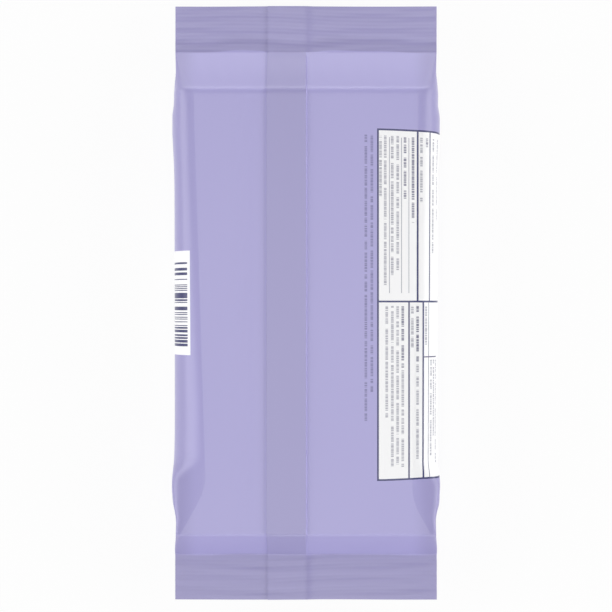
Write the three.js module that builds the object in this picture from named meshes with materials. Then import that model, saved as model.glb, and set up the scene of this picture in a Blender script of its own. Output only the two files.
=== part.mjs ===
// A sealed soft pack of wet wipes. One sheet of film is wrapped round a pad of wipes, closed along
// the back by a fin seam that is folded flat, tucked in at the four corners and pressed flat into a
// ridged seal at each end. It lies on its front, with the seam side up.
// Millimetres. X runs across the pack, Y along it from foot to head, and Z up.
// The origin is on the front face, under the middle of the pack.

import * as THREE from "three";

const { clamp, lerp, smoothstep } = THREE.MathUtils;

// Whole pack
const PACK_LENGTH = 216; // between the cut edges of the two end seals
const PACK_HEIGHT = 28; // from the front face to the rim round the back
const SIDE_BULGE = 5.6; // how far the sides swell out past the edge of the pad, at half height
const CORNER_SWELL = 0.9; // extra swell of the sides, close to the ends of the pad
const CORNER_SWELL_REACH = 12; // from the pad's end to the middle of that swell

// Pad of wipes, as it shows through the film
const PAD_WIDTH = 84.4; // between the crests of the two side rims
const RIM_HEIGHT = 0.9; // folded edges of the wipes stand this far above the back panel
const RIM_WIDTH = 4.4; // from the crest of the rim down to the level panel
const RIM_RUNOUT = 26; // length over which the side rims die away towards the foot

// Shoulders, where the film slopes from the pad to the end seals
const HEAD_SHOULDER = 14.2; // run along Y at the head
const FOOT_SHOULDER = 9.4; // run along Y at the foot, where the pad has settled
const SHOULDER_TURN = 0.4; // part of a half turn in the slope's curve: it eases in and ends steep

// Corner tucks: the side film is pushed in between the front and the back panel
const TUCK_DEPTH = 11; // deepest point of a tuck, in from the edge of the seal
const TUCK_OPEN = 0.7; // share of the shoulder's run at which a tuck is fully in
const TUCK_SHUT = 0.85; // share of the run from which its layers are pressed together

// End seals
const SEAL_WIDTH = 95.2;
const SEAL_LENGTH = 16.6; // along Y
const SEAL_THICKNESS = 0.9;
const SEAL_STRIP = 2.8; // from a seal's edge in to where the line of the rim runs out
const RIDGE_COUNT = 4; // rows that the jaws press across each seal
const RIDGE_RISE = 0.3; // each row stands this far above and below the seal's middle
const RIDGE_WANDER = 0.16; // how far a row strays along Y, as a share of the rows' pitch
const RIDGE_WAVE = 37; // distance across X in which a row strays once to and fro
const RIDGE_LEAD_IN = 2; // the rows reach full height this far inside the seal

// Fin seam: both edges of the film, sealed face to face and folded over to the left
const FIN_WIDTH = 14; // from the root on the centre line to the cut edge
const FIN_THICKNESS = 0.4;
const FIN_GAP = 0.25; // between the folded fin and the panel under it
const FIN_ROOT_DEPTH = 0.8; // the crevice under the fin ends this far short of the root
const FIN_RAMP = 1.6; // run over which the right panel climbs onto the fin

// Fineness of the surface
const RIDGE_STEPS = 6; // stations along Y for each ridge
const SHOULDER_STEPS = 8; // stations along each shoulder
const PAD_STEPS = 18; // stations along the pad
const SIDE_STEPS = 6; // points from a rim's crest round to half height
const FOLD_STEP = 2; // which of those points becomes the fold at the edge of a seal
const RIM_STEPS = 4; // points from a rim's crest down to the panel
const PANEL_STEPS = 5; // points across each level part of the back panel
const FRONT_STEPS = 10; // points across the front panel
const FIN_STEPS = 2; // points across each face of the fin
const RAMP_STEPS = 2; // points on the climb to the fin

const PACK_FILM = new THREE.MeshStandardMaterial({ color: 0xb1acd6, roughness: 0.4, metalness: 0 });

// Places that follow from the sizes
const MID_HEIGHT = PACK_HEIGHT / 2; // level of the end seals
const SEAL_START = PACK_LENGTH / 2 - SEAL_LENGTH;
const HEAD_CREST = SEAL_START - HEAD_SHOULDER;
const FOOT_CREST = FOOT_SHOULDER - SEAL_START;
const FIN_TOP = FIN_GAP + FIN_THICKNESS;
const EDGE_RADIUS = SEAL_THICKNESS / 2; // the folded film makes a round bead along a seal's edge
const SEAL_EDGE = SEAL_WIDTH / 2 - EDGE_RADIUS;

// 0 on the pad, 1 at the seal: how far a station has gone down its shoulder.
function shoulderShare(y) {
  const share = y > 0 ? (y - HEAD_CREST) / HEAD_SHOULDER : (FOOT_CREST - y) / FOOT_SHOULDER;
  return clamp(share, 0, 1);
}

// The slope of a shoulder: level at the crest, steepest past its middle.
function slope(share) {
  const turn = Math.PI * SHOULDER_TURN;
  return (Math.sin(turn * share) / Math.sin(turn)) ** 2;
}

// Height of the side rims above the back panel. They die away towards the foot.
function rimHeight(y) {
  return RIM_HEIGHT * smoothstep(y, FOOT_CREST, FOOT_CREST + RIM_RUNOUT);
}

// How far the sides swell out near each end of the pad, on top of their bulge.
function cornerSwell(y) {
  const bump = (middle) => Math.exp(-(((y - middle) / CORNER_SWELL_REACH) ** 2));
  return CORNER_SWELL * (bump(HEAD_CREST - CORNER_SWELL_REACH) + bump(FOOT_CREST + CORNER_SWELL_REACH));
}

// The rows in the seals: front and back move up and down together.
function ridgeLift(x, y) {
  const depth = Math.abs(y) - SEAL_START;
  const wander = RIDGE_WANDER * Math.sin((2 * Math.PI * x) / RIDGE_WAVE + Math.sign(y));
  const row = (depth / SEAL_LENGTH) * RIDGE_COUNT + wander;
  return RIDGE_RISE * Math.sin(2 * Math.PI * row) * smoothstep(depth, 0, RIDGE_LEAD_IN);
}

// The sizes of the cross-section at one station along the pack.
function sectionAt(y) {
  const share = shoulderShare(y);
  const closing = slope(share);
  const panelHalf = PACK_HEIGHT - RIM_HEIGHT - MID_HEIGHT;
  const bodyHalf = PAD_WIDTH / 2 + SIDE_BULGE + cornerSwell(y);
  const pushedIn = smoothstep(share, 0, TUCK_OPEN) * (1 - smoothstep(share, TUCK_SHUT, 1));
  return {
    y,
    share,
    bodyHalf,
    backHalf: lerp(panelHalf + rimHeight(y), SEAL_THICKNESS / 2, closing),
    frontHalf: lerp(MID_HEIGHT, SEAL_THICKNESS / 2, closing),
    crest: lerp(PAD_WIDTH / 2, SEAL_WIDTH / 2 - SEAL_STRIP, share),
    side: lerp(bodyHalf, SEAL_EDGE, smoothstep(share, 0, 1)) - TUCK_DEPTH * pushedIn,
  };
}

// Height of the back at a point of the section, without the fin.
function backHeight(section, x) {
  const inFromSide = (section.crest - Math.abs(x)) / RIM_WIDTH;
  const inFromHead = (HEAD_CREST - section.y) / RIM_WIDTH;
  const sunk = smoothstep(inFromSide, 0, 1) * smoothstep(inFromHead, 0, 1);
  return MID_HEIGHT + section.backHalf - rimHeight(section.y) * sunk;
}

// One side from the crest of the rim to half height, as offsets [x, share of the half height].
// On the pad it is a quarter of an ellipse. Towards the seal it becomes a flat edge strip, a sharp
// fold and a wall that runs in to the bottom of the tuck.
function sideProfile(section) {
  const foldX = lerp(section.bodyHalf, SEAL_EDGE, section.share);
  const sharpness = smoothstep(section.share, 0, TUCK_OPEN);
  const points = [];
  for (let i = 1; i <= SIDE_STEPS; i++) {
    const turn = ((i / SIDE_STEPS) * Math.PI) / 2;
    const roundX = lerp(section.crest, section.bodyHalf, Math.sin(turn));
    const toFold = Math.min(i / FOLD_STEP, 1);
    const toTuck = Math.max((i - FOLD_STEP) / (SIDE_STEPS - FOLD_STEP), 0);
    const bead = EDGE_RADIUS * Math.sqrt(1 - (1 - toTuck) ** 2);
    const foldedX = lerp(lerp(section.crest, foldX, toFold), section.side, toTuck) + bead;
    points.push([lerp(roundX, foldedX, sharpness), lerp(Math.cos(turn), 1 - toTuck, sharpness)]);
  }
  return points;
}

// Evenly spaced values from a to b, without a itself.
function stepsTo(a, b, count) {
  return Array.from({ length: count }, (_, i) => lerp(a, b, (i + 1) / count));
}

// The back from the left crest to the right one, round the folded fin, as [x, height above back].
function backProfile(section) {
  const level = section.crest - RIM_WIDTH;
  const root = -FIN_ROOT_DEPTH;
  const leftPanel = [-section.crest,
    ...stepsTo(-section.crest, -level, RIM_STEPS),
    ...stepsTo(-level, -FIN_WIDTH, PANEL_STEPS),
    ...stepsTo(-FIN_WIDTH, root, FIN_STEPS)].map((x) => [x, 0]);
  const underFin = [root, ...stepsTo(root, -FIN_WIDTH, FIN_STEPS)].map((x) => [x, FIN_GAP]);
  const overFin = [-FIN_WIDTH, ...stepsTo(-FIN_WIDTH, 0, FIN_STEPS)].map((x) => [x, FIN_TOP]);
  const ramp = stepsTo(0, FIN_RAMP, RAMP_STEPS).map((x) => [x, FIN_TOP * (1 - x / FIN_RAMP) ** 2]);
  const rightPanel = [...stepsTo(FIN_RAMP, level, PANEL_STEPS),
    ...stepsTo(level, section.crest, RIM_STEPS)].map((x) => [x, 0]);
  return [...leftPanel, ...underFin, ...overFin, ...ramp, ...rightPanel];
}

// The closed outline of the pack at one station, clockwise as seen from the foot.
function outlineAt(y) {
  const section = sectionAt(y);
  const side = sideProfile(section);
  const down = side.map(([x, half]) => [x, MID_HEIGHT + half * section.backHalf]);
  const up = side.slice(0, -1).reverse().map(([x, half]) => [x, MID_HEIGHT - half * section.frontHalf]);
  const rightSide = [...down, ...up];
  const leftSide = rightSide.map(([x, z]) => [-x, z]).reverse();
  const back = backProfile(section).map(([x, rise]) => [x, backHeight(section, x) + rise]);
  const front = [section.crest, ...stepsTo(section.crest, -section.crest, FRONT_STEPS)]
    .map((x) => [x, MID_HEIGHT - section.frontHalf]);
  return [...back, ...rightSide, ...front, ...leftSide]
    .map(([x, z]) => new THREE.Vector3(x, y, z + ridgeLift(x, y)));
}

// Stations along the pack, from the foot seal to the head seal.
function stations() {
  const sealSteps = RIDGE_COUNT * RIDGE_STEPS;
  return [-PACK_LENGTH / 2,
    ...stepsTo(-PACK_LENGTH / 2, -SEAL_START, sealSteps),
    ...stepsTo(-SEAL_START, FOOT_CREST, SHOULDER_STEPS),
    ...stepsTo(FOOT_CREST, HEAD_CREST - RIM_WIDTH, PAD_STEPS),
    ...stepsTo(HEAD_CREST - RIM_WIDTH, HEAD_CREST, RIM_STEPS),
    ...stepsTo(HEAD_CREST, SEAL_START, SHOULDER_STEPS),
    ...stepsTo(SEAL_START, PACK_LENGTH / 2, sealSteps)];
}

// Skins a row of equal outlines and closes both ends.
function loft(outlines) {
  const count = outlines[0].length;
  const faces = [];
  for (let s = 0; s + 1 < outlines.length; s++) {
    for (let i = 0; i < count; i++) {
      const a = s * count + i;
      const b = s * count + ((i + 1) % count);
      faces.push(a, b, a + count, b, b + count, a + count);
    }
  }
  const flat = (outline) => outline.map((p) => new THREE.Vector2(p.x, p.z));
  const cap = (index, flipped) => {
    for (const [a, b, c] of THREE.ShapeUtils.triangulateShape(flat(outlines[index]), [])) {
      const corners = flipped ? [a, c, b] : [a, b, c];
      faces.push(...corners.map((corner) => index * count + corner));
    }
  };
  cap(0, false);
  cap(outlines.length - 1, true);
  const geometry = new THREE.BufferGeometry().setFromPoints(outlines.flat());
  geometry.setIndex(faces);
  geometry.computeVertexNormals();
  return geometry;
}

const wipesPack = new THREE.Mesh(loft(stations().map(outlineAt)), PACK_FILM);
wipesPack.name = "wipes_pack";

const pack = new THREE.Group();
pack.add(wipesPack);

export default pack;
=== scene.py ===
# %% [markdown]
# # A soft pack of wet wipes
# The real pack starts as one flat web of printed film. A machine folds the web round a pad of folded
# wipes, seals its two long edges face to face into a fin, lays the fin flat along the back, tucks the
# sides in at the corners and presses both ends into ridged seals.
# This lesson follows the same order. A flat grid is the web, its vertices are folded into the pack,
# and the flat layout of the grid stays as the map on which the print is placed.

# %% Load the frame
import math

import bpy
import numpy as np
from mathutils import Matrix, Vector


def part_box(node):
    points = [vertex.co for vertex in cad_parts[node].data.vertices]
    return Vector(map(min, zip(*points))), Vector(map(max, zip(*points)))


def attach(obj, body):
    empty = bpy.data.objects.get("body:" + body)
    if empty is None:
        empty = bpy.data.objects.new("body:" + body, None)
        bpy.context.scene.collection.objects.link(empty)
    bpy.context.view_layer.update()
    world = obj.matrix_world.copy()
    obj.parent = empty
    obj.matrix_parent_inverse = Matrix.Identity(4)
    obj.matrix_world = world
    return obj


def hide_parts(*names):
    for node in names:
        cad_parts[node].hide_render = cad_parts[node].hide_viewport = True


MM = 0.001  # one millimetre, in Blender's metres

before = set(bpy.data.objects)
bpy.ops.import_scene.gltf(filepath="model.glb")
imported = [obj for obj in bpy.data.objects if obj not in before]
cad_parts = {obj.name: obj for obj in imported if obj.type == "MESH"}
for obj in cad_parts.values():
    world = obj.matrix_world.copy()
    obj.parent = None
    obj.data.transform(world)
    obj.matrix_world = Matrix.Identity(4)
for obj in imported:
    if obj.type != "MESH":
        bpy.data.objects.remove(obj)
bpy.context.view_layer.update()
pack_low, pack_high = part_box("wipes_pack")
pack_size = (pack_high - pack_low) / MM
print("The pack measures", [round(side, 2) for side in pack_size], "mm")

# %% [markdown]
# ## Camera and light
# The photograph looks straight down on the back of the pack. The camera hangs over it in the same way,
# about half a metre up, which is a guess, with the head of the pack towards the top of the image.
# Film is seen by what it mirrors. A broad softbox overhead shows in the level back panel, a low one on
# each side draws a light line along the rounded sides, and a low one beyond each end lights the slope
# there. Between them the room is darker, and that gap draws a dark line along every edge. One lamp
# straight above would be simpler, but it would leave the folds of the film almost unseen.

# %% Camera
CAMERA_HEIGHT = 537 * MM
CAMERA_ALONG = -1.1 * MM  # the middle of the image lies this far from the middle of the pack
CAMERA_LENS = 84.4  # millimetres, for a square image on the sensor below
SENSOR_WIDTH = 36

bpy.ops.object.select_all(action="DESELECT")
bpy.ops.object.camera_add(location=(0, CAMERA_ALONG, CAMERA_HEIGHT), rotation=(0, 0, 0))
camera = bpy.context.object
camera.data.lens = CAMERA_LENS
camera.data.sensor_width = SENSOR_WIDTH
bpy.context.scene.camera = camera
bpy.context.scene.view_settings.view_transform = "Standard"
print("The camera hangs", round(camera.location.z / MM), "mm over the floor")


# %% Softboxes
# Place and size in metres, and the brightness that a mirror would show.
SOFTBOXES = {
    "overhead_softbox": ((0, -0.4, 1.5), (0.85, 1.95), 2.2),
    "head_softbox": ((0, 1.3, 0.24), (2.0, 0.5), 2.7),
    "foot_softbox": ((0, -1.3, 0.25), (3.8, 0.5), 2.05),
    "left_softbox": ((-1.15, 0.1, 0.46), (1.5, 0.9), 2.4),
    "right_softbox": ((1.15, 0.1, 0.46), (1.5, 0.9), 2.45),
}


def softbox(name, place, size, brightness):
    """Adds a rectangular lamp that faces the pack."""
    aim = Vector((0, 0, pack_high.z / 2)) - Vector(place)
    turn = aim.to_track_quat("-Z", "Y").to_euler()
    bpy.ops.object.light_add(type="AREA", location=place, rotation=turn)
    lamp = bpy.context.object
    lamp.name = name
    lamp.data.shape = "RECTANGLE"
    lamp.data.size, lamp.data.size_y = size
    lamp.data.energy = brightness * math.pi * size[0] * size[1]
    lamp.visible_camera = False


for name, (place, size, brightness) in SOFTBOXES.items():
    softbox(name, place, size, brightness)
print("Softboxes:", list(SOFTBOXES))


# %% [markdown]
# ## Node trees as sums
# A material is easier to read as arithmetic than as boxes and wires. One small class holds a socket,
# and an expression such as 1 - mask adds the Math node that works it out. The same nodes could be
# joined by hand in the Shader Editor, but dozens of masks are quicker to write than to wire.

# %% The socket class
class Wire:
    """A node's output socket that can be used in Python sums."""

    def __init__(self, tree, socket=None):
        self.tree = tree
        self.socket = socket

    def node(self, kind, settings, values, output=0):
        """Adds a node, sets it up, links or fills its inputs, and gives the output that is asked for."""
        made = self.tree.nodes.new(kind)
        for name, value in settings.items():
            setattr(made, name, value)
        for name, value in values.items():
            if isinstance(value, Wire):
                self.tree.links.new(value.socket, made.inputs[name])
            else:
                made.inputs[name].default_value = value
        return Wire(self.tree, made.outputs[output] if made.outputs else None)

    def math(self, operation, first, *others):
        return self.node("ShaderNodeMath", {"operation": operation}, dict(enumerate((first, *others))))

    def __add__(self, other):
        return self.math("ADD", self, other)

    def __sub__(self, other):
        return self.math("SUBTRACT", self, other)

    def __rsub__(self, other):
        return self.math("SUBTRACT", other, self)

    def __mul__(self, other):
        return self.math("MULTIPLY", self, other)

    def __truediv__(self, other):
        return self.math("DIVIDE", self, other)

    def __gt__(self, other):
        return self.math("GREATER_THAN", self, other)

    def __lt__(self, other):
        return self.math("LESS_THAN", self, other)

    def __or__(self, other):
        return self.math("MAXIMUM", self, other)

    __radd__ = __add__
    __rmul__ = __mul__

    def within(self, low, high):
        """1 from low to high, and 0 outside."""
        return self.math("COMPARE", self, (low + high) / 2, abs(high - low) / 2)

    def ramp(self, start, end, low=0.0, high=1.0):
        """Eases from low at start to high at end, and stays there."""
        places = {"From Min": start, "From Max": end, "To Min": low, "To Max": high}
        values = {"Value": self, **places}
        return self.node("ShaderNodeMapRange", {"interpolation_type": "SMOOTHSTEP"}, values)

    def tint(self, under, over):
        """The colour under, with over laid on it where this mask is 1."""
        return self.node("ShaderNodeMix", {"data_type": "RGBA"}, {0: self, 6: under, 7: over}, 2)

    def seen(self):
        """1 for what the camera sees directly, in a mirror or through glass, and 0 for light."""
        direct, mirrored, through = (
            self.node("ShaderNodeLightPath", {}, {}, f"Is {kind} Ray")
            for kind in ("Camera", "Glossy", "Transmission")
        )
        return direct | mirrored | through


def tree_of(owner):
    """The empty node tree of a material or a world."""
    owner.use_nodes = True
    owner.node_tree.nodes.clear()
    return owner.node_tree


# %% [markdown]
# ## Room and floor
# The pack lies on plain white. Seen by the camera, the room is white as well, while the light that it
# gives stays low, so that the softboxes do the work. The floor mixes a glow with a plain matt white:
# the glow keeps it white, and the matt part keeps the pack's soft shadow. More light on the floor would
# whiten it too, but it would wash out the pack as well.

# %% Room
ROOM_LIGHT = 0.03
ROOM_WHITE = 1.0

world = bpy.data.worlds.new("room")
bpy.context.scene.world = world
room = Wire(tree_of(world))
seen = room.seen()
strength = seen.ramp(0, 1, ROOM_LIGHT, ROOM_WHITE)
background = room.node("ShaderNodeBackground", {}, {"Color": (1, 1, 1, 1), "Strength": strength})
room.node("ShaderNodeOutputWorld", {}, {"Surface": background})
print("The room looks", ROOM_WHITE, "and lights with", ROOM_LIGHT)


# %% Floor
FLOOR_SIDE = 8
FLOOR_DROP = 0.1 * MM  # the floor lies this far under the pack, so that the two faces don't fight
FLOOR_WHITE = (0.95, 0.95, 0.95, 1)
FLOOR_GLOW = 0.92  # share of the floor's look that is glow

bpy.ops.mesh.primitive_plane_add(size=FLOOR_SIDE, location=(0, 0, pack_low.z - FLOOR_DROP))
floor = bpy.context.object
floor.name = "floor"
paper = bpy.data.materials.new("white_floor")
floor.data.materials.append(paper)
sheet = Wire(tree_of(paper))
seen = sheet.seen()
matt = sheet.node("ShaderNodeBsdfDiffuse", {}, {"Color": FLOOR_WHITE})
glow = sheet.node("ShaderNodeEmission", {}, {"Color": (1, 1, 1, 1), "Strength": 1.0})
look = sheet.node("ShaderNodeMixShader", {}, {0: seen * FLOOR_GLOW, 1: matt, 2: glow})
sheet.node("ShaderNodeOutputMaterial", {}, {"Surface": look})
print("The floor lies at", round(floor.location.z / MM, 2), "mm")

# %% [markdown]
# ## Sizes of the fold
# All sizes of the film are in millimetres. The length, the height and the widest place come from the
# frame. The fin's width and the seals are read from the photograph, and the thicknesses are guesses.
# Every other size stands in the cell that uses it first, close to the sum that it changes.

# %% Sizes
PACK_LENGTH = pack_size.y
FIN_WIDTH = 14.0  # from the root on the centre line to the cut edge
FIN_THICKNESS = 0.4
FIN_GAP = 0.25  # between the folded fin and the panel under it
FIN_TOP = FIN_GAP + FIN_THICKNESS
BACK_TOP = pack_size.z - FIN_TOP
MID_HEIGHT = BACK_TOP / 2
SEAL_LENGTH = 16.6
SEAL_EDGE = 47.3  # half the width of a seal, up to its rounded edge
SEAL_HALF = 0.35  # half its thickness
SEAL_START = PACK_LENGTH / 2 - SEAL_LENGTH
print("The seals start", round(SEAL_START, 1), "mm from the middle")


# %% [markdown]
# ## From a web to a section
# Every station along the pack has the same columns of film: under the fin, across the left panel,
# round the left side, across the front, round the right side, across the right panel and over the fin.
# A function gives the place of those columns at one station, and the pack is a row of such stations.
# A cloth simulation could fold the film too, but its creases fall where chance puts them. Worked out
# as sums, each fold can be put where the photograph shows it.

# %% Easing
def smooth(t):
    """Eases from 0 to 1."""
    t = np.clip(t, 0.0, 1.0)
    return t * t * (3.0 - 2.0 * t)


def mix(a, b, t):
    return a + (b - a) * t


def bump(t):
    """1 at 0, and dying away by 2 on both sides."""
    return np.exp(-np.square(t))


print("Half way, smooth gives", smooth(0.5), "and bump", round(bump(0.5), 2))

# %% The slopes to the seals
HEAD_CREST = 73.8  # where the back begins to fall towards the seal
FOOT_CREST = -81.5
# A tilt is the turn over the pad's edge and the slow turn after it, both in degrees, and the share of
# the slope that the first turn takes.
HEAD_TILT = (42, -8, 0.22)
FOOT_TILT = (50, -4, 0.16)


def fall_table(tilts):
    """How far the back has come down at each share of its slope, from the tilt that it has there."""
    share = np.linspace(0.0, 1.0, 200)
    quick, slow = np.radians(tilts[:2])
    fall = np.cumsum(np.tan(quick * smooth(share / tilts[2]) + slow * share))
    return share, (fall - fall[0]) / (fall[-1] - fall[0])


HEAD_FALL = fall_table(HEAD_TILT)
FOOT_FALL = fall_table(FOOT_TILT)


def shoulder(y):
    """0 on the pad and 1 at the seal: how far a station has gone along its slope."""
    if y > 0:
        share = (y - HEAD_CREST) / (SEAL_START - HEAD_CREST)
    else:
        share = (FOOT_CREST - y) / (SEAL_START + FOOT_CREST)
    return float(np.clip(share, 0.0, 1.0))


def closing(y):
    """0 on the pad and 1 at the seal: how far the film has come down to the level of the seal."""
    return float(np.interp(shoulder(y), *(HEAD_FALL if y > 0 else FOOT_FALL)))


print("The head slope is", round(SEAL_START - HEAD_CREST, 1), "mm long")
print("The foot slope is", round(SEAL_START + FOOT_CREST, 1), "mm long")

# %% The width of the pack
CORNER_SWELL = 0.9  # how far the sides stand out near both ends of the pad
HEAD_SWELL = (65.0, 12.0, 7.5, 1.0)  # its middle, its reach towards the pad and the seal, and its share
FOOT_SWELL = (-66.0, 12.0, 6.0, 0.5)
FOOT_WAIST = 1.3  # how far the sides are drawn in at the foot's corners
WAIST_START = -70.0
WAIST_REACH = 9.0
BODY_HALF = pack_size.x / 2 - CORNER_SWELL
PAD_HALF = 39.9  # from the centre line to where a side begins to round off, at the head
PAD_DRIFT = {-1: 0.031, 1: 0.015}  # how fast that line moves in towards the foot, left and right
FLARE_START = {-1: -61.0, 1: -66.0}  # below this the same line runs out to the corner of the seal


def body_half(y):
    """Half width of the pack at half height, with its swell near both ends of the pad."""
    middle, to_pad, to_seal, share = HEAD_SWELL if y > 0 else FOOT_SWELL
    reach = to_seal if abs(y) > abs(middle) else to_pad
    waist = FOOT_WAIST * smooth((WAIST_START - y) / WAIST_REACH)
    return BODY_HALF + share * CORNER_SWELL * bump((y - middle) / reach) - waist


def pad_edge(y, side):
    """Distance from the centre line to the line where a side begins to round off."""
    edge = PAD_HALF - PAD_DRIFT[side] * max(HEAD_CREST - y, 0.0)
    flare = smooth((FLARE_START[side] - y) / (SEAL_START + FLARE_START[side]))
    return mix(edge, SEAL_EDGE, shoulder(y) if y > 0 else flare)


print("Across its middle the pack measures", round(2 * body_half(0.0), 1), "mm")

# %% The back
RIPPLE = 0.085  # height of the faint waves that run along the left panel
RIPPLE_PLACE = -21.0
RIPPLE_REACH = 3.5
RIPPLE_TURN = 1.2  # radians of the wave for each millimetre
PUCKER = 0.035  # height of the small waves in the slopes, where the film is drawn together
PUCKER_EDGE = 36.0  # they fade out from here
PUCKER_FADE = 8.0


def back_height(x, y):
    """Height of the back, without the fin."""
    share = shoulder(y)
    ripple = RIPPLE * np.sin((x - RIPPLE_PLACE + RIPPLE_REACH) * RIPPLE_TURN)
    ripple = ripple * bump((x - RIPPLE_PLACE) / RIPPLE_REACH) * (1 - share)
    # Three waves of different length make the pucker uneven.
    pucker = np.sin(x * 0.62 + 1.0) + np.sin(x * 0.97 + y * 0.2) + np.sin(x * 0.41 - 0.8)
    inner = 1 - smooth((np.abs(x) - PUCKER_EDGE) / PUCKER_FADE)
    pucker = PUCKER * pucker * share * (1 - share) * 4 * inner
    return MID_HEIGHT + mix(BACK_TOP - MID_HEIGHT, SEAL_HALF, closing(y)) + ripple + pucker


print("In the middle the back is", round(float(back_height(0.0, 0.0)), 2), "mm high")

# %% Ridges of the seals
RIDGE_PITCH = 4.5
RIDGE_RISE = 0.15
FINE_PITCH = 1.9  # of the finer rows between the ridges
FINE_SHARE = 0.3  # their height as a share of a ridge
SEAL_CURL = 0.3  # height of the wave along the cut edges


def ridges(x, y):
    """The rows that the sealing jaws leave in both layers. They wander, and come and go across it."""
    depth = abs(y) - SEAL_START
    if depth <= 0:
        return np.zeros_like(x)
    near = math.exp(-depth / 7)
    if y > 0:
        wander = 0.9 * np.cos(x / 11.0 + 0.6) * near + 0.3 * np.sin(x / 6.1 + 1)
        fade = 0.35 + 0.65 * near
    else:
        wander = 2.6 * np.square(x / SEAL_EDGE) * (0.35 + near) + 0.3 * np.sin(x / 7.3)
        fade = 1.0
    row = (depth + wander) / RIDGE_PITCH
    curl = SEAL_CURL * np.sin(x / 10.5 + 2.2 * np.sign(y)) * (depth / SEAL_LENGTH) ** 1.5
    fade = fade * (0.65 + 0.35 * np.sin(x / 8.3 + depth * 0.7))
    fine_row = (depth + 0.6 * np.sin(x / 13)) / FINE_PITCH
    fine = FINE_SHARE * np.sin(2 * math.pi * fine_row) * np.sin(x / 12 + 1.3 * depth)
    return RIDGE_RISE * (fade * np.sin(2 * math.pi * row - 1.2) + fine) * smooth(depth / 1.5) + curl


print("A seal has about", round(SEAL_LENGTH / RIDGE_PITCH, 1), "ridges")

# %% Tucks and creases
TUCK_DEPTH = 11.0
# Where a tuck opens and closes, in shares of the slope.
TUCK_START = 0.05
TUCK_OPENING = 0.6
TUCK_END = 0.85
TUCK_CLOSING = 0.15
TUCK_LIP = (0.22, 0.72)  # half the opening of a tuck, in radians, at the pad and further down
TUCK_LEAD = 0.12  # share of the depth that the crease ahead of a tuck has
TUCK_LEAD_REACH = 24.0  # how far that crease runs into the side of the pack
CRUMPLE = 0.3  # depth of the creases in the sides, close to the tucks
CRUMPLE_PLACE = 71.0
CRUMPLE_REACH = 7.0


def tuck(y, angle):
    """How far a side is pushed in by the tuck on a slope, or by the crease ahead of it."""
    share = shoulder(y)
    lip = mix(*TUCK_LIP, smooth(share / TUCK_OPENING))
    pushed = smooth((share - TUCK_START) / TUCK_OPENING)
    pushed = pushed * (1 - smooth((share - TUCK_END) / TUCK_CLOSING))
    ahead = HEAD_CREST - y if y > 0 else y - FOOT_CREST
    pushed = max(pushed, TUCK_LEAD * float(smooth(1 - ahead / TUCK_LEAD_REACH)))
    return TUCK_DEPTH * pushed * np.clip(1 - np.abs(angle) / lip, 0, 1)


def crumple(y, side, angle):
    """How far the small creases draw a side in. Two waves that cross make them uneven."""
    drawn = bump((abs(y) - CRUMPLE_PLACE) / CRUMPLE_REACH) * np.cos(angle) ** 2
    creases = np.sin(y * 0.9 + 2.2 * angle) + np.sin(y * 0.55 - 3.1 * angle + side)
    return CRUMPLE * drawn * (2 + creases) / 4


half_way = (HEAD_CREST + SEAL_START) / 2
print("Half way down the head slope a tuck is", round(float(tuck(half_way, 0.0)), 1), "mm deep")

# %% One side
SIDE_COLUMNS = 56
FACET_START = {-1: -54.5, 1: -56.0}  # the sides flatten into facets from here, left and right
FACET_REACH = 9.0
FACET_TILT = 0.24  # how steeply a facet falls towards the side
FACET_POWER = 0.22  # a facet stays almost flat up to its edge
EDGE_TILT = 0.2  # how steeply the film leaves the pad's edge
EDGE_REACH = 3.0
ROLL_WIDTH = 7.9  # a side that is this wide, seen from above, turns down by the power below
ROLL_POWER = 0.75  # below 1 the turn is late and tight, above 1 early and wide
ROLL_GAIN = 0.1  # a wider side turns down earlier
ROLL_RANGE = (0.7, 1.1)


def side_roll(y, side):
    """Columns round one side, from the back down to the front."""
    share = shoulder(y)
    close = closing(y)
    angle = np.linspace(math.pi / 2, -math.pi / 2, SIDE_COLUMNS + 2)[1:-1]
    upper = angle > 0
    front = mix(PAD_HALF, SEAL_EDGE, share)
    edge = np.where(upper, pad_edge(y, side), front)
    widest = mix(body_half(y), SEAL_EDGE + SEAL_HALF, smooth(share))
    facet = smooth((FACET_START[side] - y) / FACET_REACH)
    bend = np.clip(ROLL_POWER + ROLL_GAIN * (widest - pad_edge(y, side) - ROLL_WIDTH), *ROLL_RANGE)
    power = np.where(upper, mix(bend, FACET_POWER, facet), 1.0)
    up = back_height(np.array(0.0), y) - MID_HEIGHT
    down = mix(MID_HEIGHT, SEAL_HALF, close)
    rise = np.sign(angle) * np.abs(np.sin(angle)) ** power
    beyond = (widest - edge) * np.cos(angle) ** power
    lean = mix(EDGE_TILT * EDGE_REACH * (1 - np.exp(-beyond / EDGE_REACH)), FACET_TILT * beyond, facet)
    x = edge + beyond - crumple(y, side, angle) - tuck(y, angle)
    z = MID_HEIGHT + np.where(upper, up - lean * (1 - share), down) * rise
    return side * x, z


print("The right side reaches", round(side_roll(0.0, 1)[0].max(), 2), "mm from the centre line")

# %% One section
FIN_COLUMNS = 12
PANEL_COLUMNS = 44
FRONT_COLUMNS = 40
RAMP_COLUMNS = 6
FIN_ROOT_DEPTH = 0.8  # the crevice under the fin ends this far short of the root
FIN_RAMP = 0.4  # run over which the right panel climbs onto the fin
FIN_PRESSED_RAMP = 4.0  # run of the climb in the seals
FIN_PRESSED = 0.7  # share of the fin's height that is left there
PRESS_LEAD = 3.0  # the fin begins to flatten this far before the seal
PRESS_RUN = 4.0


def pressed(y):
    """0 on the pad and 1 where the sealing jaws have pressed the film."""
    return float(smooth((abs(y) - SEAL_START + PRESS_LEAD) / PRESS_RUN))


def back_run(start, end, count):
    """Columns across a panel, closer together towards the end."""
    t = np.linspace(0.0, 1.0, count)
    return mix(start, end, 1 - (1 - t) ** 1.5)


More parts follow.
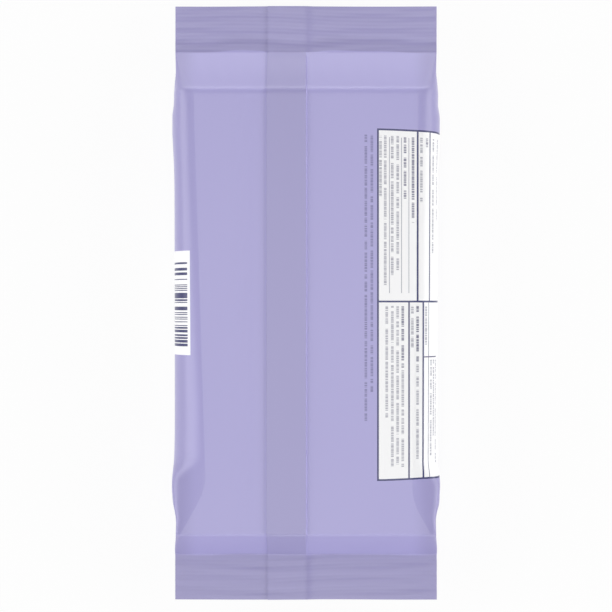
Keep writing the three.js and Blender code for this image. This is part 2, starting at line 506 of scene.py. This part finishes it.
def section(y):
    """Places x and z of all columns at one station, from cut edge to cut edge of the web."""
    under_x = np.linspace(-FIN_WIDTH, -FIN_ROOT_DEPTH, FIN_COLUMNS)
    left_x = back_run(-FIN_ROOT_DEPTH, -pad_edge(y, -1), PANEL_COLUMNS)
    front_half = mix(PAD_HALF, SEAL_EDGE, shoulder(y))
    front_x = np.linspace(-front_half, front_half, FRONT_COLUMNS)
    climb = mix(FIN_RAMP, FIN_PRESSED_RAMP, pressed(y))
    lift = mix(1.0, FIN_PRESSED, pressed(y))
    right_x = back_run(climb, pad_edge(y, 1), PANEL_COLUMNS)[::-1]
    ramp_x = np.linspace(climb, 0, RAMP_COLUMNS)[1:]
    over_x = np.linspace(0, -FIN_WIDTH, FIN_COLUMNS)[1:]
    left_side = side_roll(y, -1)
    right_side = side_roll(y, 1)
    front_z = np.full(FRONT_COLUMNS, MID_HEIGHT - mix(MID_HEIGHT, SEAL_HALF, closing(y)))
    x = [under_x, left_x, left_side[0], front_x, right_side[0][::-1], right_x, ramp_x, over_x]
    z = [
        back_height(under_x, y) + FIN_GAP * lift,
        back_height(left_x, y),
        left_side[1],
        front_z,
        right_side[1][::-1],
        back_height(right_x, y),
        back_height(ramp_x, y) + FIN_TOP * lift * (1 - ramp_x / climb) ** 2,
        back_height(over_x, y) + FIN_TOP * lift,
    ]
    x = np.concatenate(x)
    z = np.concatenate(z)
    return x, z + ridges(x, y)


print("A section has", len(section(0.0)[0]), "columns")


# %% Stations along the pack
def stations():
    """Places along the pack, closer together in the seals and on the slopes."""
    half = PACK_LENGTH / 2
    # Start, end and number of stations.
    stretches = [
        (-half, -SEAL_START, 52),
        (-SEAL_START, FOOT_CREST, 34),
        (FOOT_CREST, HEAD_CREST, 110),
        (HEAD_CREST, SEAL_START, 40),
        (SEAL_START, half, 52),
    ]
    runs = [np.linspace(start, end, count, endpoint=False) for start, end, count in stretches]
    return np.append(np.concatenate(runs), half)


rows = stations()
shape = np.array([np.stack([*section(y)], axis=1) for y in rows])
folded = np.stack([shape[:, :, 0], np.repeat(rows[:, None], shape.shape[1], 1), shape[:, :, 1]], axis=2)
row_count, column_count = folded.shape[:2]
print("The web has", column_count, "columns and", row_count, "rows")

# %% [markdown]
# ## Fold the web
# A grid is added with one vertex for each column and row, and its vertices are moved to the places
# worked out above. Its two long edges then meet at the cut edge of the fin, where a bridge joins them,
# and each end of the tube is filled. The pack is closed that way, as a sealed pack is.

# %% Web of film
bpy.ops.object.select_all(action="DESELECT")
bpy.ops.mesh.primitive_grid_add(x_subdivisions=column_count - 1, y_subdivisions=row_count - 1, size=1)
pack = bpy.context.object
pack.name = "film_wrap"
mesh = pack.data
mesh.name = "film_wrap"
mesh.vertices.foreach_set("co", (folded * MM).astype(np.float32).ravel())
mesh.update()
vertex_row = np.arange(len(mesh.vertices)) // column_count
vertex_column = np.arange(len(mesh.vertices)) % column_count
print("Folded", len(mesh.vertices), "vertices")


# %% Close the fin and the ends
SHARP_ANGLE = math.radians(38)  # edges that turn by more than this stay sharp


def select_edges(chosen):
    """Selects the edges whose two vertices are both chosen, and nothing else."""
    ends = np.empty(len(mesh.edges) * 2, np.int32)
    mesh.edges.foreach_get("vertices", ends)
    picked = chosen[ends.reshape(-1, 2)].all(axis=1)
    mesh.polygons.foreach_set("select", np.zeros(len(mesh.polygons), bool))
    mesh.vertices.foreach_set("select", chosen)
    mesh.edges.foreach_set("select", picked)


def edit(operator, **options):
    """Runs one edit-mode operator on what is selected."""
    bpy.ops.object.mode_set(mode="EDIT")
    bpy.ops.mesh.select_mode(type="EDGE")
    operator(**options)
    bpy.ops.object.mode_set(mode="OBJECT")


select_edges((vertex_column == 0) | (vertex_column == column_count - 1))
edit(bpy.ops.mesh.bridge_edge_loops)
for end in (0, row_count - 1):
    select_edges(vertex_row == end)
    edit(bpy.ops.mesh.fill)
bpy.ops.object.mode_set(mode="EDIT")
bpy.ops.mesh.select_all(action="SELECT")
bpy.ops.mesh.normals_make_consistent(inside=False)
bpy.ops.object.mode_set(mode="OBJECT")
bpy.ops.object.shade_smooth_by_angle(angle=SHARP_ANGLE)
print("The wrap has", len(mesh.polygons), "faces")

# %% [markdown]
# ## The web's flat layout
# The map gives every column its distance across the flat film, and every row its distance along it.
# Print that is straight on the film then bends round the sides with it, as it does on a real pack.
# Unwrapping the folded pack would cut it into islands, and the web is flat to begin with.

# %% Film map
REFERENCE_ROW = int(np.argmin(np.abs(rows)))
PANEL_COLUMN = column_count - FIN_COLUMNS - RAMP_COLUMNS - 8  # in the right panel, close to the fin
WEB_MARGIN = 4.0  # left free on the map, beside the film
END_GAP = 0.6  # between the film and a sealed end, on the map


def run_length(points):
    """Distance covered along a line of points."""
    return np.concatenate([[0.0], np.cumsum(np.linalg.norm(np.diff(points, axis=0), axis=1))])


across = run_length(folded[REFERENCE_ROW])
RIGHT_ROOT = across[-1] - FIN_WIDTH  # the fin's root on the right panel, across the web
along = run_length(folded[:, PANEL_COLUMN])
along = along - np.interp(0.0, rows, along)
WEB_WIDTH = across[-1] + 2 * WEB_MARGIN
WEB_LENGTH = 2 * max(-along[0], along[-1]) + WEB_MARGIN
print("The film is", round(across[-1], 1), "mm wide and", round(along[-1] - along[0], 1), "mm long")

# %% Distances on the film
# Each row has its own distances, measured from the nearer cut edge and evened out over the front.
lengths = np.array([run_length(row) for row in folded])
from_left = lengths - across
from_right = (lengths - lengths[:, -1:]) - (across - across[-1])
column = np.arange(column_count)
front_start = FIN_COLUMNS + PANEL_COLUMNS + SIDE_COLUMNS
fade_left = 1 - smooth((column - front_start + SIDE_COLUMNS / 2) / (SIDE_COLUMNS / 2))
fade_right = smooth((column - front_start - FRONT_COLUMNS) / (SIDE_COLUMNS / 2))
web_across = across + from_left * fade_left + from_right * fade_right
print("A row of film is", round(lengths.min(), 1), "to", round(lengths.max(), 1), "mm long")

# %% Write the map
# The faces along the cut edge and at the two ends lie beside the film on the map. A face of the bridge
# would span the whole map, and a face of a sealed end would have no length on it.
corner = np.empty(len(mesh.loops), np.int32)
mesh.loops.foreach_get("vertex_index", corner)
u = (web_across[vertex_row[corner], vertex_column[corner]] + WEB_MARGIN) / WEB_WIDTH
v = along[vertex_row[corner]] / WEB_LENGTH + 0.5
film_map = mesh.uv_layers.active
film_map.name = "OFBake"
face_of = np.repeat(np.arange(len(mesh.polygons)), [p.loop_total for p in mesh.polygons])
first = np.array([p.loop_start for p in mesh.polygons])
widest_gap = np.maximum.reduceat(u, first) - np.minimum.reduceat(u, first)
longest_gap = np.maximum.reduceat(v, first) - np.minimum.reduceat(v, first)
in_bridge = (widest_gap > 0.9)[face_of]
in_cap = (longest_gap < 1e-7)[face_of]
u = np.where(in_bridge & (u < 0.5), 1.0, u)
height = np.array([vertex.co.z for vertex in mesh.vertices])[corner] / MM - MID_HEIGHT
v = np.where(in_cap, v + np.sign(v - 0.5) * (height + END_GAP) / WEB_LENGTH, v)
film_map.uv.foreach_set("vector", np.stack([u, v], axis=1).astype(np.float32).ravel())
print("The map covers", round(WEB_WIDTH, 1), "by", round(WEB_LENGTH, 1), "mm")

# %% [markdown]
# ## Film
# The film is a lavender laminate with a satin face. It looks lightest where the white wipes lie close
# behind it, and over the rounded sides its colour is darker, which is painted shade. In the fin and in
# the seals there is only film behind film, so those are darker and greyer, and next to the body a seal
# is darker still, which is painted shade as well.
# One Principled surface serves for all of it, with the colour worked out from the place on the web.

# %% Colours
# Linear red, green and blue.
LAVENDER = (0.400, 0.372, 0.668, 1)
SEAL_LAVENDER = (0.352, 0.328, 0.572, 1)
# Painted shade: the band of a seal next to the body is darker.
SEAL_SHADE_LAVENDER = (0.302, 0.280, 0.500, 1)
# Painted shade: the film over the rounded sides is darker, where it leaves the pad.
SIDE_SHADE_LAVENDER = (0.338, 0.312, 0.565, 1)
FIN_LAVENDER = (0.342, 0.318, 0.565, 1)
PRINT_WHITE = (0.95, 0.95, 0.96, 1)
INK = (0.028, 0.030, 0.125, 1)
print("The film is", LAVENDER[:3], "and the seals are", SEAL_LAVENDER[:3])

# %% Where a point lies on the film
film_material = bpy.data.materials.new("lavender_film")
mesh.materials.clear()
mesh.materials.append(film_material)
film = Wire(tree_of(film_material))
place = film.node("ShaderNodeUVMap", {"uv_map": "OFBake"}, {})
across_web = film.node("ShaderNodeSeparateXYZ", {}, {0: place}, 0) * WEB_WIDTH - WEB_MARGIN
along_pack = (film.node("ShaderNodeSeparateXYZ", {}, {0: place}, 1) - 0.5) * WEB_LENGTH
right = RIGHT_ROOT - across_web  # distance from the seam, out over the right panel and side
left = across_web - (FIN_WIDTH - FIN_ROOT_DEPTH)  # the same, over the left panel and side
print("The web's map drives", film_material.name)

# %% Bare film
# Between these distances from the seam the sides darken with painted shade.
SIDE_SHADE_RANGE = (37.5, 46.0)  # between these distances from the seam, the film leaves the pad
HEAD_SEAL_EDGE = (-0.2, 0.6)  # the colour of a seal comes in between these distances from its start
FOOT_SEAL_EDGE = (0.5, -0.9)
# Painted shade: next to the body a seal is darkest up to the first of these depths.
HEAD_SEAL_SHADE = (2.5, 6.5)  # a seal is darkest up to the first of these depths
FOOT_SEAL_SHADE = (3.0, 8.0)
FOOT_SEAL_SHADE_FADE = 0.3  # how much of that fades towards the foot's cut edge
HEAD_SEAL_PLACE = float(np.interp(SEAL_START, rows, along))
FOOT_SEAL_PLACE = float(np.interp(-SEAL_START, rows, along))
fin_mask = (right < 0.0) | (left < 0.0)
# The edges of the seals wander a little across the film.
wave = film.math("SINE", across_web * 0.13 + 0.5) * 0.45 + film.math("SINE", across_web * 0.29) * 0.2
head_seal = (along_pack + wave).ramp(*[HEAD_SEAL_PLACE + shift for shift in HEAD_SEAL_EDGE])
foot_seal = (along_pack + wave * 0.5).ramp(*[FOOT_SEAL_PLACE + shift for shift in FOOT_SEAL_EDGE])
seal_mask = head_seal | foot_seal
# Painted shade over the rounded sides of the pack.
side_shade = left.ramp(*SIDE_SHADE_RANGE) * right.ramp(*SIDE_SHADE_RANGE)
colour = side_shade.tint(LAVENDER, SIDE_SHADE_LAVENDER)
colour = fin_mask.tint(colour, FIN_LAVENDER)
# Where a seal comes out of its painted shade, towards its cut edge.
head_seal_unshaded = (along_pack + wave * 2).ramp(*[HEAD_SEAL_PLACE + depth for depth in HEAD_SEAL_SHADE])
foot_seal_unshaded = (along_pack + wave).ramp(*[FOOT_SEAL_PLACE - depth for depth in FOOT_SEAL_SHADE], 0.0, FOOT_SEAL_SHADE_FADE)
seal_unshaded = head_seal_unshaded | foot_seal_unshaded
colour = seal_mask.tint(colour, seal_unshaded.tint(SEAL_SHADE_LAVENDER, SEAL_LAVENDER))
print("Bare film takes", len(film.tree.nodes), "nodes")

# %% [markdown]
# ## Print
# On the right lies a white panel of small print, which bends round the side, and on the left a white
# field with bars. A picture could carry them, but it would blur close up. Here each is a plain field,
# a rule or a row of broken bars, worked out in the node tree, so its edges stay sharp at any size.

# %% Layout of the print
PRINT_DRAWN = (25.0, 46.0, 1.0, 1.011)  # towards the side the film is drawn together by this much
along_print = along_pack * right.ramp(*PRINT_DRAWN)

# A rule is (distance from the seam, width), and a row (distance, top, foot, weight), in millimetres.
UPPER_RULES = ((40.03, 0.65), (44.9, 0.5))
FINE_RULES = ((30.0, 0.25), (34.3, 0.25), (36.9, 0.25))
FINE_RULE_INSET = 3.0
FINE_RULE_WEIGHT = 0.7
LOWER_RULES = ((36.95, 0.55), (42.2, 0.65), (44.6, 0.25))
CROSS_RULE = (42.2, 50.0, -19.2, -19.6)  # a short rule across the panel: near, far, top and foot
PRINT_ROWS = (
    (26.84, 59.5, 37.9, 0.6), (28.51, 59.5, 6.0, 0.6), (30.99, 59.5, 9.9, 0.65),
    (32.94, 59.5, 11.7, 0.65), (35.53, 59.5, 37.2, 0.85), (38.37, 59.2, 28.7, 0.9),
    (41.4, 59.2, 36.1, 0.6), (43.6, 59.2, 54.9, 0.8), (46.7, 59.2, 18.0, 0.6),
    (50.0, 59.2, 30.0, 0.7), (29.04, -1.1, -40.8, 0.6), (31.03, -1.1, -58.2, 0.6),
    (32.91, -1.1, -57.5, 0.6), (34.72, -1.1, -23.1, 0.9), (34.72, -24.0, -58.5, 0.6),
    (38.15, -1.1, -16.0, 0.6), (40.03, -1.1, -21.0, 0.9), (40.03, -22.0, -56.1, 0.6),
    (43.4, -1.1, -15.0, 0.6), (46.0, -20.5, -55.0, 0.6), (47.8, -20.5, -48.0, 0.6),
    (49.6, -20.5, -58.0, 0.6),
)
SMALL_ROWS = ((23.76, 59.9, -31.6, 0.55), (21.63, 59.9, -41.9, 0.55))  # beside the panel
print("The print has", len(PRINT_ROWS) + len(SMALL_ROWS), "rows")

# %% Helpers for the print
ROW_HEIGHT = 0.95
BARS_PER_MM = 0.42
STROKES_PER_BAR = 6.5
ROW_SHIFT = 7.3  # moves each row to its own part of the noise
DASH_EDGE = (0.36, 0.4)  # the noise turns from bare to printed between these two values
STROKE_EDGE = (0.36, 0.56, 0.1, 1.0)  # the same, and how strong the ink is on either side


def field(near, far, top, foot):
    """1 in a rectangle of the right panel: near and far from the seam, and from top to foot."""
    return right.within(near, far) * along_print.within(foot, top)


def rule(distance, top, foot, width):
    """1 on a line along the pack."""
    return field(distance - width / 2, distance + width / 2, top, foot)


def noise_along(place_in_row, scale):
    """Smooth noise along a row."""
    values = {"W": place_in_row, "Scale": scale}
    return film.node("ShaderNodeTexNoise", {"noise_dimensions": "1D"}, values)


def row(distance, top, foot, weight):
    """A row of print: broken bars of uneven length, as heavy as its weight says."""
    place_in_row = along_print * BARS_PER_MM + distance * ROW_SHIFT
    dashes = noise_along(place_in_row, 1.0).ramp(*DASH_EDGE)
    strokes = noise_along(place_in_row, STROKES_PER_BAR).ramp(*STROKE_EDGE)
    return rule(distance, top, foot, ROW_HEIGHT) * dashes * strokes * weight


def largest(masks):
    """Lays masks over each other."""
    total = masks[0]
    for mask in masks[1:]:
        total = total | mask
    return total


# %% White panel
PANEL_NEAR, PANEL_FAR = 25.6, 60.0
PANEL_TOP, PANEL_FOOT = 61.9, -63.2
PANEL_SPLIT = 0.5  # a rule across the panel, near its middle
OUTLINE = 0.65


def fine_rule(distance, width):
    """A thin rule that stops short of the upper half's ends."""
    top, foot = PANEL_TOP - FINE_RULE_INSET, PANEL_SPLIT + FINE_RULE_INSET
    return rule(distance, top, foot, width) * FINE_RULE_WEIGHT


panel = field(PANEL_NEAR, PANEL_FAR, PANEL_TOP, PANEL_FOOT)
inside = field(PANEL_NEAR + OUTLINE, PANEL_FAR - OUTLINE, PANEL_TOP - OUTLINE, PANEL_FOOT + OUTLINE)
inside = inside * (1 - along_print.within(PANEL_SPLIT - OUTLINE / 2, PANEL_SPLIT + OUTLINE / 2))
rules = largest(
    [rule(distance, PANEL_TOP, PANEL_SPLIT, width) for distance, width in UPPER_RULES]
    + [rule(distance, PANEL_SPLIT, PANEL_FOOT, width) for distance, width in LOWER_RULES]
    + [fine_rule(distance, width) for distance, width in FINE_RULES]
    + [field(*CROSS_RULE)]
)
print("The panel has", len(UPPER_RULES + LOWER_RULES + FINE_RULES) + 1, "rules inside it")

# %% Rows of print
rows_of_print = largest([row(*line) for line in PRINT_ROWS])
small_rows = largest([row(*line) for line in SMALL_ROWS])
print("Rows of print:", len(PRINT_ROWS), "in the panel and", len(SMALL_ROWS), "beside it")

# %% Field of bars
BARS_PITCH = 0.33
BARS_GAPS = 0.48  # share of the pitches that stay white
# Near and far from the seam, foot and top.
BARS_FIELD = (40.9, 67.0, -18.6, 18.6)
BARS = (42.1, 65.0, -15.5, 14.8)


def left_field(near, far, foot, top):
    """1 in a rectangle of the left panel and side."""
    return left.within(near, far) * along_pack.within(foot, top)


cell = film.math("FLOOR", along_pack / BARS_PITCH)
chance = film.node("ShaderNodeTexWhiteNoise", {"noise_dimensions": "1D"}, {"W": cell})
bars_field = left_field(*BARS_FIELD)
bars = left_field(*BARS) * (chance > BARS_GAPS)
print("The field holds bars on", round((BARS[3] - BARS[2]) / BARS_PITCH), "pitches")

# %% Lay the print on the film
colour = (panel | bars_field).tint(colour, PRINT_WHITE)
ink = largest([panel - inside * panel, rules, rows_of_print, small_rows, bars])
colour = ink.tint(colour, INK)
print("With its print the film takes", len(film.tree.nodes), "nodes")

# %% [markdown]
# ## Shine
# The laminate is smooth, but not a mirror: a lamp shows in it as a soft patch. A matt base under a
# clear coat could give that as well. One layer of middle roughness has fewer values to match, and a
# little noise in the roughness keeps the wide panels from looking too even.

# %% Film surface
ROUGHNESS = (0.28, 0.32)
CLOUD_SCALE = 25.0  # of the faint unevenness in the shine
FILM_IOR = 1.5  # how strongly the film mirrors

object_place = film.node("ShaderNodeTexCoord", {}, {}, "Object")
clouds = {"Vector": object_place, "Scale": CLOUD_SCALE, "Detail": 1.0}
cloudy = film.node("ShaderNodeTexNoise", {}, clouds)
roughness = cloudy.ramp(0.0, 1.0, *ROUGHNESS)
finish = {"Base Color": colour, "Roughness": roughness, "IOR": FILM_IOR}
surface = film.node("ShaderNodeBsdfPrincipled", {}, finish)
film.node("ShaderNodeOutputMaterial", {}, {"Surface": surface})
print("The film's roughness lies between", *ROUGHNESS)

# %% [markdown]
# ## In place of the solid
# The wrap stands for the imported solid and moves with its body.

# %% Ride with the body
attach(pack, "root")
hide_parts("wipes_pack")
